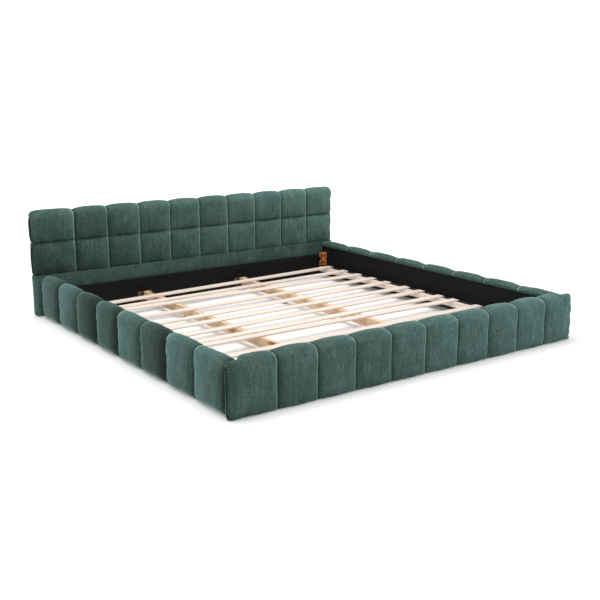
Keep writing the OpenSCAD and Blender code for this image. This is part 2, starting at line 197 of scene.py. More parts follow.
# Timber and metal
EASED_ANGLE = 50
EDGE_OF_SLOT = {"pine": 0.0020, "birch": 0.0010, "plywood": 0.0010, "yellow_zinc": 0.0006}
SLOT_OF_NODE = {row["node"]: row["material_slot"] for row in frame["record"]["subparts"]}
OWN_MATERIAL = {"left_ledger": "birch_ledger", "right_ledger": "birch_ledger",
                "headboard_frame": "pine_frame", "beam_hangers": "dark_zinc",
                "bracket_bolts": "dark_zinc"}


# ---------------------------------------------------------------- scene

def add_object(name, data):
    made = bpy.data.objects.new(name, data)
    bpy.context.scene.collection.objects.link(made)
    return made


def aim(thing, place, heading):
    """Puts the camera or a light at a place, looking along a heading."""
    thing.location = place
    thing.rotation_mode = "QUATERNION"
    thing.rotation_quaternion = heading.to_track_quat("-Z", "Y")


def make_camera():
    azimuth = math.radians(CAMERA_AZIMUTH)
    elevation = math.radians(CAMERA_ELEVATION)
    back = Vector((math.sin(azimuth) * math.cos(elevation),
                   -math.cos(azimuth) * math.cos(elevation),
                   math.sin(elevation)))
    data = bpy.data.cameras.new("camera")
    data.lens = CAMERA_LENS
    data.clip_end = CAMERA_CLIP
    camera = add_object("camera", data)
    aim(camera, CAMERA_TARGET + back * CAMERA_DISTANCE, -back)
    bpy.context.scene.camera = camera


def make_light(name, place, size, power):
    data = bpy.data.lights.new(name, "AREA")
    data.shape = "DISK"
    data.size = size
    data.energy = power
    aim(add_object(name, data), place, LIGHT_AIM - Vector(place))


def make_world():
    """Light from all round: white from the head's side, falling off to grey toward the foot's."""
    world = bpy.data.worlds.new("studio")
    bpy.context.scene.world = world
    world.use_nodes = True
    tree = world.node_tree
    coordinates = tree.nodes.new("ShaderNodeTexCoord")
    split = tree.nodes.new("ShaderNodeSeparateXYZ")
    share = tree.nodes.new("ShaderNodeMath")  # takes -1 to 1 to 0 to 1
    share.operation = "MULTIPLY_ADD"
    share.inputs[1].default_value = 0.5
    share.inputs[2].default_value = 0.5
    ramp = tree.nodes.new("ShaderNodeValToRGB")
    for element, (position, grey) in zip(ramp.color_ramp.elements, WALL_STOPS):
        element.position = position
        element.color = (grey, grey, grey, 1)
    tree.links.new(coordinates.outputs["Generated"], split.inputs[0])
    tree.links.new(split.outputs["Y"], share.inputs[0])
    tree.links.new(share.outputs[0], ramp.inputs["Fac"])
    tree.links.new(ramp.outputs["Color"], tree.nodes["Background"].inputs["Color"])


def make_floor():
    floor = bpy.data.meshes.new("floor")
    signs = ((-1, -1), (1, -1), (1, 1), (-1, 1))
    floor.from_pydata([(x * FLOOR_REACH, y * FLOOR_REACH, 0) for x, y in signs], [], [(0, 1, 2, 3)])
    floor.materials.append(floor_material())
    floor_object = add_object("floor", floor)


def make_studio():
    make_world()
    for name, (place, size, power) in LIGHTS.items():
        make_light(name, place, size, power)
    bpy.context.scene.view_settings.view_transform = "Standard"
    make_floor()


# ---------------------------------------------------------------- materials

def fill_inputs(node, values):
    for name, value in values.items():
        node.inputs[name].default_value = value


class Nodes:
    """A short way to build a node material."""

    def __init__(self, name):
        self.material = bpy.data.materials.new(name)
        self.material.use_nodes = True
        self.tree = self.material.node_tree
        self.shader = self.tree.nodes["Principled BSDF"]

    def add(self, kind, **settings):
        node = self.tree.nodes.new(kind)
        for key, value in settings.items():
            setattr(node, key, value)
        return node

    def link(self, source, target):
        self.tree.links.new(source, target)

    def place(self, scale=(1, 1, 1)):
        """The piece's own coordinates. A pattern runs long on an axis whose scale is below 1."""
        coordinates = self.add("ShaderNodeTexCoord")
        mapping = self.add("ShaderNodeMapping")
        mapping.inputs["Scale"].default_value = scale
        self.link(coordinates.outputs["Object"], mapping.inputs["Vector"])
        return mapping.outputs["Vector"]

    def noise(self, vector, scale, detail=2.0, roughness=0.5, distortion=0.0):
        node = self.add("ShaderNodeTexNoise")
        fill_inputs(node, {"Scale": scale, "Detail": detail, "Roughness": roughness,
                           "Distortion": distortion})
        self.link(vector, node.inputs["Vector"])
        return node.outputs["Fac"]

    def spots(self, vector, scale, randomness=1.0):
        node = self.add("ShaderNodeTexVoronoi")
        fill_inputs(node, {"Scale": scale, "Randomness": randomness})
        self.link(vector, node.inputs["Vector"])
        return node.outputs["Distance"]

    def attribute(self, name):
        node = self.add("ShaderNodeAttribute", attribute_name=name, attribute_type="GEOMETRY")
        return node.outputs["Fac"]

    def scaled(self, value, factor):
        node = self.add("ShaderNodeMath", operation="MULTIPLY")
        self.link(value, node.inputs[0])
        node.inputs[1].default_value = factor
        return node.outputs[0]

    def ramp(self, factor, stops):
        node = self.add("ShaderNodeValToRGB")
        ramp = node.color_ramp
        while len(ramp.elements) < len(stops):
            ramp.elements.new(0.5)
        for element, (position, colour) in zip(ramp.elements, stops):
            element.position = position
            element.color = (*colour, 1)
        self.link(factor, node.inputs["Fac"])
        return node.outputs["Color"]

    def greys(self, factor, stops):
        return self.ramp(factor, [(position, (level,) * 3) for position, level in stops])

    def multiply(self, product, *colours):
        for colour in colours:
            node = self.add("ShaderNodeMix", data_type="RGBA", blend_type="MULTIPLY")
            node.inputs[MIX_FACTOR].default_value = 1.0
            self.link(product, node.inputs[MIX_FIRST])
            self.link(colour, node.inputs[MIX_SECOND])
            product = node.outputs[MIX_RESULT]
        return product

    def colour(self, value):
        self.link(value, self.shader.inputs["Base Color"])

    def bump(self, height, strength, distance):
        node = self.add("ShaderNodeBump")
        fill_inputs(node, {"Strength": strength, "Distance": distance})
        self.link(height, node.inputs["Height"])
        normal = self.shader.inputs["Normal"]
        if normal.is_linked:
            self.link(normal.links[0].from_socket, node.inputs["Normal"])
        self.link(node.outputs["Normal"], normal)


def floor_material():
    """A pale floor whose glow grows with the distance, until it is as white as the wall."""
    m = Nodes("floor")
    distance = m.add("ShaderNodeVectorMath", operation="LENGTH")
    m.link(m.place(), distance.inputs[0])
    glow = m.add("ShaderNodeMapRange")
    fill_inputs(glow, FLOOR_GLOW)
    m.link(distance.outputs["Value"], glow.inputs["Value"])
    m.link(glow.outputs["Result"], m.shader.inputs["Emission Strength"])
    fill_inputs(m.shader, {"Base Color": (FLOOR_GREY, FLOOR_GREY, FLOOR_GREY, 1),
                           "Emission Color": (1, 1, 1, 1), "Specular IOR Level": 0.0,
                           "Roughness": 0.9})
    return m.material


def velvet_material():
    """Short-pile velvet: the nap lies in strokes, and its colour carries painted light and shade.
    """
    m = Nodes("velvet")
    strokes = m.noise(m.place(), scale=7.0, detail=4.0, roughness=0.6, distortion=0.6)
    brushed = m.noise(m.place((1, 1, 0.14)), scale=62.0, detail=3.0, roughness=0.6, distortion=0.3)
    mottle = m.noise(m.place((1, 1, 0.55)), scale=135.0, detail=4.0, roughness=0.68,
                     distortion=0.4)
    pile = m.noise(m.place(), scale=900.0, roughness=0.7)
    nap = m.ramp(strokes, [(0.30, (0.044, 0.085, 0.075)), (0.52, (0.054, 0.101, 0.089)),
                           (0.78, (0.073, 0.129, 0.116))])
    strands = m.greys(brushed, [(0.34, 0.84), (0.66, 1.18)])
    fine = m.greys(mottle, [(0.34, 0.70), (0.66, 1.28)])
    # Painted light and shade of each channel and across it, from the shade attribute
    painted_light = m.greys(m.attribute("shade"), [(0.0, 0.20), (1.0, 1.80)])
    # Painted seam shade: the colour darkens close to a seam
    tuck = m.greys(m.scaled(m.attribute("seam_gap"), 1 / TUCK_REACH),
                   [(0.0, 0.25), (0.25, 0.85), (0.6, 1.0)])
    # Painted sheen line: the colour is lighter on the ring just before each seam
    pale = m.ramp(m.attribute("painted_sheen_line"), [(0.0, (1, 1, 1)), (1.0, (2.6, 2.5, 2.5))])
    m.colour(m.multiply(nap, strands, fine, painted_light, tuck, pale))
    fill_inputs(m.shader, {"Roughness": 0.86, "Specular IOR Level": 0.18, "Sheen Weight": 0.7,
                           "Sheen Roughness": 0.25, "Sheen Tint": (0.46, 0.86, 0.78, 1)})
    m.bump(pile, strength=0.35, distance=0.0008)
    m.bump(mottle, strength=0.25, distance=0.0030)
    return m.material


def lining_material():
    """Black spun-bonded lining with its grid of tiny bonding points."""
    m = Nodes("lining")
    place = m.place()
    tone = m.noise(place, scale=14.0, detail=3.0, roughness=0.6)
    m.colour(m.ramp(tone, [(0.3, (0.0035, 0.0037, 0.0046)), (0.7, (0.0060, 0.0063, 0.0075))]))
    fill_inputs(m.shader, {"Roughness": 0.88, "Specular IOR Level": 0.2})
    m.bump(m.spots(place, scale=420.0, randomness=0.15), strength=0.3, distance=0.0006)
    m.bump(m.noise(place, scale=130.0, detail=3.0, roughness=0.7), strength=0.25, distance=0.0012)
    return m.material


def stretched(along, share):
    """The scale that stretches a pattern along one axis."""
    return tuple(share if axis == along else 1.0 for axis in "XYZ")


def wood_material(name, pale, mid, dark, along, roughness, knots=0):
    """Planed timber whose grain runs along one axis; knots sets how many dark knots show."""
    m = Nodes(name)
    place = m.place(stretched(along, GRAIN_STRETCH))
    grain = m.noise(place, scale=85.0, detail=5.0, roughness=0.62, distortion=0.9)
    streak = m.noise(place, scale=16.0, distortion=0.4)
    tone = m.ramp(grain, [(0.30, dark), (0.50, mid), (0.70, pale)])
    board = m.ramp(streak, [(0.30, (0.88, 0.86, 0.83)), (0.70, (1.06, 1.05, 1.04))])
    colour = m.multiply(tone, board)
    if knots:
        spots = m.spots(m.place(stretched(along, KNOT_STRETCH)), scale=knots)
        colour = m.multiply(colour, m.ramp(spots, [
            (0.05, (0.30, 0.17, 0.09)), (0.16, (0.72, 0.55, 0.38)), (0.26, (1.0, 1.0, 1.0))]))
    m.colour(colour)
    fill_inputs(m.shader, {"Roughness": roughness, "Specular IOR Level": 0.3})
    m.bump(grain, strength=0.18, distance=0.0010)
    return m.material


def metal_material(name, dark, light, roughness, metallic=1.0):
    """Plated metal with a cloudy colour and uneven gloss."""
    m = Nodes(name)
    place = m.place()
    cloud = m.noise(place, scale=60.0, detail=4.0, roughness=0.6)
    m.colour(m.ramp(cloud, [(0.30, dark), (0.70, light)]))
    m.shader.inputs["Metallic"].default_value = metallic
    worn = m.greys(m.noise(place, scale=240.0),
                   [(0.3, roughness - METAL_WEAR), (0.7, roughness + METAL_WEAR)])
    m.link(worn, m.shader.inputs["Roughness"])
    m.bump(cloud, strength=0.08, distance=0.0006)
    return m.material


def plastic_material():
    m = Nodes("black_plastic")
    place = m.place()
    m.colour(m.ramp(m.noise(place, scale=30.0),
                    [(0.3, (0.014, 0.014, 0.015)), (0.7, (0.022, 0.022, 0.024))]))
    m.shader.inputs["Roughness"].default_value = 0.55
    m.bump(m.noise(place, scale=700.0, roughness=0.6), strength=0.2, distance=0.0004)
    return m.material


def make_materials():
    birch = ((0.80, 0.715, 0.665), (0.75, 0.655, 0.585), (0.645, 0.53, 0.44))
    pine = ((0.77, 0.60, 0.42), (0.66, 0.475, 0.31), (0.47, 0.30, 0.18))
    ply = ((0.66, 0.50, 0.33), (0.58, 0.42, 0.26), (0.46, 0.32, 0.19))
    black = ((0.018, 0.018, 0.019), (0.013, 0.013, 0.014), (0.009, 0.009, 0.010))
    return {
        "velvet": velvet_material(),
        "lining": lining_material(),
        "birch": wood_material("birch", *birch, "X", 0.62),
        "birch_ledger": wood_material("birch_ledger", *birch, "Y", 0.62),
        "pine": wood_material("pine", *pine, "Y", 0.66, knots=9.0),
        "pine_frame": wood_material("pine_frame", *pine, "X", 0.66, knots=5.0),
        "plywood": wood_material("plywood", *ply, "Y", 0.7),
        "black_timber": wood_material("black_timber", *black, "Y", 0.75),
        "yellow_zinc": metal_material("yellow_zinc", (0.62, 0.21, 0.06), (0.82, 0.38, 0.13),
                                      0.45, metallic=0.5),
        # A darker, browner copy of the yellow zinc, for the beam hangers and the bracket bolts
        "dark_zinc": metal_material("dark_zinc", (0.20, 0.11, 0.055), (0.38, 0.23, 0.12), 0.50),
        "zinc": metal_material("zinc", (0.55, 0.56, 0.58), (0.72, 0.73, 0.75), 0.32),
        "black_plastic": plastic_material(),
    }


# ---------------------------------------------------------------- soft shapes

def swell(t, power=CHANNEL_POWER):
    """0 at both ends of a channel and 1 across its middle, steep beside the seams."""
    return (1 - np.abs(2 * np.clip(t, 0, 1) - 1) ** power) ** (1 / power)


def side_edges(start, end):
    """Ends and seams of a side rail; its channel at the foot is a little longer than the rest."""
    pitch = (end - start) / (SIDE_CHANNELS - 1 + LONG_CHANNEL)
    return np.concatenate([[start], end - pitch * np.arange(SIDE_CHANNELS - 1, -1, -1)])


def cross_edges(half_w):
    """Ends and seams of a pad across the bed; the row of seams sits a little to the right."""
    steps = np.arange(CROSS_CHANNELS - 1) - (CROSS_CHANNELS - 2) / 2
    return np.concatenate([[-half_w], SEAM_SHIFT + steps * SEAM_PITCH, [half_w]])


def channel_stations(edges):
    """Places along a pad, closer together beside the seams, and each one's place and channel."""
    k = np.arange(RINGS_PER_CHANNEL) / RINGS_PER_CHANNEL
    inside = RING_CROWDING * (1 - np.cos(np.pi * k)) / 2 + (1 - RING_CROWDING) * k
    channels = len(edges) - 1
    t = np.concatenate([np.tile(inside, channels), [1.0]])
    index = np.concatenate([np.repeat(np.arange(channels), RINGS_PER_CHANNEL), [channels - 1]])
    return edges[index] + t * np.diff(edges)[index], t, index


def outline(corners, outward=1):
    """Samples an open path of corners (a, b, radius, swell) with rounded corners.
    Gives the points, the outward normals and each point's swell. Outward is the left of the
    path's direction when `outward` is 1, and its right when it is -1."""
    points, weights = [], []
    places = [np.array(c[:2], float) for c in corners]
    for i, (_, _, radius, weight) in enumerate(corners):
        here = places[i]
        if radius == 0 or i in (0, len(corners) - 1):
            points.append(here)
            weights.append(weight)
            continue
        before = places[i - 1] - here
        after = places[i + 1] - here
        before /= np.linalg.norm(before)
        after /= np.linalg.norm(after)
        half = math.acos(np.clip(before @ after, -1, 1)) / 2
        reach = radius / math.tan(half)
        centre = here + (before + after) / np.linalg.norm(before + after) * radius / math.sin(half)
        first, last = here + before * reach - centre, here + after * reach - centre
        turn = math.acos(np.clip(first @ last / radius ** 2, -1, 1))
        steps = max(3, int(round(turn * radius / SECTION_STEP * ARC_FINENESS)))
        for k in range(steps + 1):
            s = k / steps
            arm = (math.sin((1 - s) * turn) * first + math.sin(s * turn) * last) / math.sin(turn)
            points.append(centre + arm)
            weights.append(weight)
    fine, fine_weights = [points[0]], [weights[0]]
    for p, q, v, w in zip(points, points[1:], weights, weights[1:]):
        count = max(1, int(round(np.linalg.norm(q - p) / SECTION_STEP)))
        for k in range(1, count + 1):
            fine.append(p + (q - p) * k / count)
            fine_weights.append(v + (w - v) * k / count)
    fine = np.array(fine)
    along = np.gradient(fine, axis=0)
    along /= np.linalg.norm(along, axis=1)[:, None]
    return fine, outward * np.stack([-along[:, 1], along[:, 0]], 1), np.array(fine_weights)


def soft_object(name, points, faces, caps=()):
    mesh = bpy.data.meshes.new(name)
    mesh.from_pydata([tuple(p) for p in points], [], [tuple(f) for f in faces])
    shell = bmesh.new()
    shell.from_mesh(mesh)
    shell.verts.ensure_lookup_table()
    for cap in caps:
        made = shell.faces.new([shell.verts[i] for i in cap])
        bmesh.ops.triangulate(shell, faces=[made], ngon_method="EAR_CLIP")
    bmesh.ops.recalc_face_normals(shell, faces=shell.faces)
    shell.to_mesh(mesh)
    shell.free()
    mesh.update()
    return add_object(name, mesh)


def loft(name, rings):
    """A closed skin through a row of closed rings, with a flat cap at each end."""
    count, size = rings.shape[:2]
    faces = []
    for i in range(count - 1):
        for j in range(size):
            k = (j + 1) % size
            faces.append((i * size + j, i * size + k, (i + 1) * size + k, (i + 1) * size + j))
    caps = [range(size), range((count - 1) * size, count * size)]
    return soft_object(name, rings.reshape(-1, 3), faces, caps)


def points_of(mesh):
    flat = np.zeros(len(mesh.vertices) * 3, np.float32)
    mesh.vertices.foreach_get("co", flat)
    return flat.reshape(-1, 3).astype(float)


def set_points(mesh, points):
    mesh.vertices.foreach_set("co", np.asarray(points, np.float32).ravel())
    mesh.update()


def floats_of(mesh, name):
    values = np.zeros(len(mesh.vertices), np.float32)
    mesh.attributes[name].data.foreach_get("value", values)
    return values


def put_attribute(piece, name, values):
    attributes = piece.data.attributes
    layer = attributes.get(name) or attributes.new(name, "FLOAT", "POINT")
    layer.data.foreach_set("value", np.asarray(values, np.float32))


# Adds painted light and shade to a cover's colour
def add_painted_light(piece, sheen):
    shade = floats_of(piece.data, "shade") + sheen
    put_attribute(piece, "shade", np.clip(shade, 0, 1))


def crease_seams(piece, on_seam, concealed, size):
    """Keeps the seams, and the long edges of the parts out of sight, sharp when subdivided."""
    layer = piece.data.attributes.new("crease_edge", "FLOAT", "EDGE")
    values = []
    for edge in piece.data.edges:
        a, b = edge.vertices
        along = (a - b) % size == 0
        if on_seam[a] and on_seam[b]:
            values.append(SEAM_CREASE)
        elif along and concealed[a] and concealed[b]:
            values.append(1.0)
        else:
            values.append(0.0)
    layer.data.foreach_set("value", values)


def pin(piece, held):
    group = piece.vertex_groups.new(name="pin")
    group.add([int(i) for i in np.flatnonzero(held)], 1.0, "REPLACE")


def painted_channel_tones(first, last, seed):
    """One number per channel, from left to right: a painted light gradient with random tone added.
    """
    jitter = np.random.default_rng(seed).uniform(-TONE_JITTER, TONE_JITTER, CROSS_CHANNELS)
    return np.linspace(first, last, CROSS_CHANNELS) + jitter


soft_pieces = []


def register(piece, rings_shape, seam_rings, sewn, hidden, shade, node, cap_move, stations):
    """Notes what the later steps need: what the simulation holds, the painted light and shade, the
    painted sheen line and the seams.
    """
    count, size = rings_shape
    seam = np.repeat(seam_rings, size)
    concealed = np.tile(hidden, count) if hidden.ndim == 1 else hidden.ravel()
    ends = np.zeros((count, size), bool)
    ends[[0, -1]] = True
    pin(piece, seam | concealed | ends.ravel())
    crease_seams(piece, seam & ~concealed, concealed, size)
    put_attribute(piece, "shade", np.repeat(shade, size))
    to_seams = np.abs(stations[:, None] - stations[sewn][None, :])
    put_attribute(piece, "seam_gap", np.repeat(np.min(to_seams, axis=1, initial=NO_SEAM), size))
    # Painted sheen line on the ring just before each sewn seam
    painted_sheen_line = np.zeros(count)
    painted_sheen_line[np.maximum(np.flatnonzero(sewn) - 1, 0)] = 1
    painted_sheen_line[sewn] = 0
    put_attribute(piece, "painted_sheen_line", np.repeat(painted_sheen_line, size))
    put_attribute(piece, "shown", (~concealed).astype(float))
    soft_pieces.append((piece, cap_move))
    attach(piece, "root")
    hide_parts(node)


def channel_section(lip, seam_out, board_out, bottom, top, lining_top, out):
    """A rail's or the foot's section at a seam: from the lining inside, over the top, down the
    outer face and in under the board. `out` is 1 if outside is up the axis, -1 if it is down."""
    seam_top = top - SEAM_DEPTH * TOP_SWELL
    return outline([
        (lip - out * LIP_EDGE, lining_top - LIP_LAP, 0, 0.0),
        (lip - out * LIP_STAND, lining_top + LIP_RISE, 0, 0.2),
        (lip - out * LIP_STAND, seam_top, LIP_ROUND, TOP_SWELL),
        (seam_out, seam_top, TOP_ROUND, TOP_SWELL),
        (seam_out, seam_top - TOP_ROUND - SWELL_RUN, 0, 1.0),
        (seam_out, bottom + BOTTOM_ROUND + SWELL_RUN, 0, 1.0),
        (seam_out, bottom, BOTTOM_ROUND, BOTTOM_SWELL),
        (board_out + out * UNDER_LAP, bottom, 0, 0.0),
    ], out)


def channel_back(lip, top_corner, lip_corner, board_out, bottom, board_top, lining_top, out):
    """The inner side of that section: up the board's outer face, over its top, to the lining."""
    face = board_out + out * FIT_GAP
    lid = board_top + FIT_GAP
    edge = lip + out * 0.0004
    return np.array([(face, bottom + 0.003), (face, 0.12), (face, lid), (top_corner, lid),
                     (lip_corner, lining_top + 0.006), (edge, lining_top + 0.002),
                     (edge, lining_top - LIP_LAP)])


def rail_pad(side):
    """A side rail's cover: eight channels rolled over the board, down to the lining inside."""
    hand = "left" if side < 0 else "right"
    node = hand + "_rail_pad"
    low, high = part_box(node)
    board_low, board_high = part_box(hand + "_rail_board")
    lining_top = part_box(hand + "_rail_lining")[1].z
    inner, outer = sorted((abs(low.x), abs(high.x)))
    board_in, board_out = sorted((abs(board_low.x), abs(board_high.x)))
    shown, normals, swells = channel_section(inner, outer - SEAM_DEPTH, board_out, low.z, high.z,
                                             lining_top, 1)
    corner = board_in + FIT_GAP
    back = channel_back(inner, corner, corner, board_out, low.z, board_high.z, lining_top, 1)
    stations, t, index = channel_stations(side_edges(low.y, high.y))
    size = len(shown) + len(back)
    rings = np.zeros((len(stations), size, 3))
    for ring, y, place in zip(rings, stations, t):
        lift = (SEAM_DEPTH - SIDE_PUFF) * swell(place)
        section = np.concatenate([shown + normals * (swells * lift)[:, None], back])
        ring[:, 0] = side * section[:, 0]
        ring[:, 1] = y
        ring[:, 2] = section[:, 1]
    hidden = np.zeros(size, bool)
    hidden[len(shown):] = True
    hidden[[0, len(shown) - 1]] = True
    seam_rings = (t == 0) | (t == 1)
    piece = loft(node + "_cover", rings)
    # Painted light and shade along each channel: lighter toward its far edge, darker just past its
    # near one and where the foot's end stands over it
    tones = RAIL_TONES[index] + RAIL_TONE_TURN * (t - 0.5)
    tones -= RAIL_TONE_DIP * np.exp(-t / RAIL_TONE_DIP_REACH)
    tones -= RAIL_FOOT_DIP * (index == 0) * np.exp(-(t / RAIL_FOOT_REACH) ** 2)
    if side > 0:
        tones = RIGHT_RAIL_TONE + RIGHT_RAIL_SHARE * (tones - RIGHT_RAIL_TONE)
    register(piece, (len(stations), size), seam_rings, seam_rings, hidden, tones, node, SIDE_PUFF,
             stations)


def end_inset(x, reach, radius):
    """How far a section draws in as the pad's end rounds off, within `radius` of the end."""
    past = np.clip((abs(x) - (reach - radius)) / radius, 0, 1)
    return radius * (1 - math.sqrt(1 - min(past, 0.999) ** 2))


def end_stations(edges, radius):
    """Channel stations with extra rings in the rounded ends."""
    stations, t, index = channel_stations(edges)
    reach, widths = edges[-1], np.diff(edges)
    right = reach - radius * (1 - np.sin(END_ANGLES))
    left = -right[::-1]
    keep = np.abs(stations) < reach - radius
    t = np.concatenate([(left + reach) / widths[0], t[keep], 1 - (reach - right) / widths[-1]])
    index = np.concatenate([np.zeros(len(left), int), index[keep],
                            np.full(len(right), len(widths) - 1)])
    return np.concatenate([left, stations[keep], right]), t, index


def open_end_swell(place, channel, channels):
    """A channel's swell, which stays nearly full towards an end that has no seam."""
    if channel == 0 and place < 0.5 or channel == channels - 1 and place > 0.5:
        return float(swell(place, OPEN_END_POWER))
    return float(swell(place))


def closed_rings(rings, dome):
    """Adds shrinking rings at both ends, so that each end face is a low dome."""
    parts = [rings]
    for end in (0, -1):
        ring = rings[end]
        low, high = ring.min(0), ring.max(0)
        centre = (low + high) / 2
        half = (high - low) / 2
        thin = min(half[1], half[2])
        spine = ring.copy()
        spine[:, 1] = centre[1]
        spine[:, 2] = np.clip(ring[:, 2], low[2] + thin, high[2] - thin)
        added = []
        for share in DOME_SHARES:
            inner = spine + (ring - spine) * share
            inner[:, 0] = ring[:, 0] + math.copysign(dome * (1 - share ** 2), centre[0])
            added.append(inner)
        block = np.array(added)
        parts = [block[::-1]] + parts if end == 0 else parts + [block]
    return np.concatenate(parts)


def cross_pad(name, node, shown_of, back_of, edges, pocket_half, depth, tones, puff, end_round,
              dome, pinch=None):
    """A pad across the bed: a footboard or headboard cover whose section may change along it."""
    stations, t, index = end_stations(edges, end_round)
    half_w, channels = edges[-1], len(edges) - 1
    rows = []
    for x, place, channel in zip(stations, t, index):
        shown, normals, swells = shown_of(x)
        lift = (depth - puff) * open_end_swell(place, channel, channels)
        draw = end_inset(x, half_w, end_round)
        drawn = np.clip((shown[:, 1] - shown[:, 1].min()) / END_FOOT_H, END_FOOT_SHARE, 1)
        drawing = np.stack([np.full(len(shown), draw), draw * drawn], 1)
        section = shown + normals * ((swells * lift)[:, None] - drawing)
        back = back_of(x, abs(x) > pocket_half, draw)
        section = np.concatenate([section, back])
        ring = np.zeros((len(section), 3))
        ring[:, 0] = x
        ring[:, 1] = section[:, 0]
        ring[:, 2] = section[:, 1]
        if pinch is not None:
            reach = PINCH_REACH * end_round
            share = np.clip((abs(x) - half_w + reach) / reach, 0, 1)
            ring[:, 0] -= math.copysign(1, x) * pinch(section[:, 1]) * share ** 2
        rows.append(ring)
    rings = closed_rings(np.array(rows), dome)
    count, size = rings.shape[:2]
    extra = (count - len(stations)) // 2
    pad_index = np.concatenate([np.zeros(extra, int), index, np.full(extra, channels - 1)])
    pad_t = np.concatenate([np.full(extra, 0.5), t, np.full(extra, 0.5)])
    edge = np.full(extra, stations[-1])
    pad_stations = np.concatenate([-edge, stations, edge])
    seam_rings = (pad_t == 0) | (pad_t == 1)
    solid = np.abs(pad_stations) > pocket_half
    hidden = np.zeros((count, size), bool)
    n_shown = size - len(back)
    hidden[:, n_shown:] = True
    hidden[:, [0, n_shown - 1]] = True
    hidden[solid, n_shown + 1:size - 1] = False
    piece = loft(name, rings)
    sewn = seam_rings & (np.abs(pad_stations) < half_w - SAME_PLACE)
    at_end = np.abs(pad_stations) > half_w - SAME_PLACE
    # Painted shade on the pad's end faces
    pad_tones = tones[pad_index] - END_TONE_DROP * at_end
    register(piece, (count, size), seam_rings, sewn, hidden, pad_tones, node, puff, pad_stations)
    return piece


def edge_sheen(x, edges, lit, shaded):
    """Painted light across a channel: a painted highlight at its right edge, painted shade at its
    left.
    """
    channel = np.clip(np.searchsorted(edges, x) - 1, 0, len(edges) - 2)
    t = (x - edges[channel]) / np.diff(edges)[channel]
    right = lit * np.clip((t - (1 - LIT_SHARE)) / LIT_SHARE, 0, 1) ** 2
    left = shaded * np.clip((SHADED_SHARE - t) / SHADED_SHARE, 0, 1) ** 2
    return right - left


def foot_pad():
    low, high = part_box("foot_pad")
    board_low, board_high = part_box("foot_board")
    _, lining_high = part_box("foot_lining")
    back_y, lip_y = board_high.y, lining_high.y
    lining_top = lining_high.z
    seam_front = low.y + SEAM_DEPTH
    middle = channel_section(lip_y, seam_front, board_low.y, low.z, high.z, lining_top, -1)

    def lip_at(x):
        """The lip stands over the lining, and draws back to the board beyond it."""
        share = np.clip((lining_high.x - abs(x)) / LIP_RAMP, 0, 1)
        return back_y + (lip_y - back_y) * share

    def shown_of(x):
        points, normals, swells = (part.copy() for part in middle)
        share = np.clip((points[:, 0] - seam_front) / (lip_y - seam_front), 0, None)
        points[:, 0] -= (lip_y - lip_at(x)) * share
        return points, normals, swells

    def back_of(x, solid, draw):
        if solid:
            level = low.z + 0.5 * draw
            return np.array([(board_low.y + 0.004, level), (back_y - 0.004, level),
                             (back_y, level + 0.02), (back_y, 0.08), (back_y, 0.14),
                             (back_y, lining_top - 0.03), (back_y, lining_top - 0.01)])
        lip = lip_at(x)
        return channel_back(lip, lip - 0.004, lip - 0.003, board_low.y, low.z, board_high.z,
                            lining_top, -1)

    edges = cross_edges(high.x)
    piece = cross_pad("foot_pad_cover", "foot_pad", shown_of, back_of, edges, board_high.x,
                      SEAM_DEPTH, painted_channel_tones(*FOOT_TONES), SIDE_PUFF, FOOT_END_ROUND, FOOT_DOME)
    add_painted_light(piece, edge_sheen(points_of(piece.data)[:, 0], edges, FOOT_LIT, FOOT_SHADED))


def tuft_sheen(x, z, edges, bottom, top):
    """Painted light of a tuft: a painted highlight at its right edge and just under the middle
    seam, painted shade at its left, and lighter toward its top.
    """
    under_seam = np.where(z < MID_SEAM, np.exp((z - MID_SEAM) / TUFT_TOP_REACH), 0)
    rise = np.clip((z - bottom) / (top - bottom), 0, 1) - 0.5
    return (edge_sheen(x, edges, TUFT_LIT, TUFT_SHADED) + TUFT_TOP_LIT * under_seam
            + TUFT_RISE * rise)


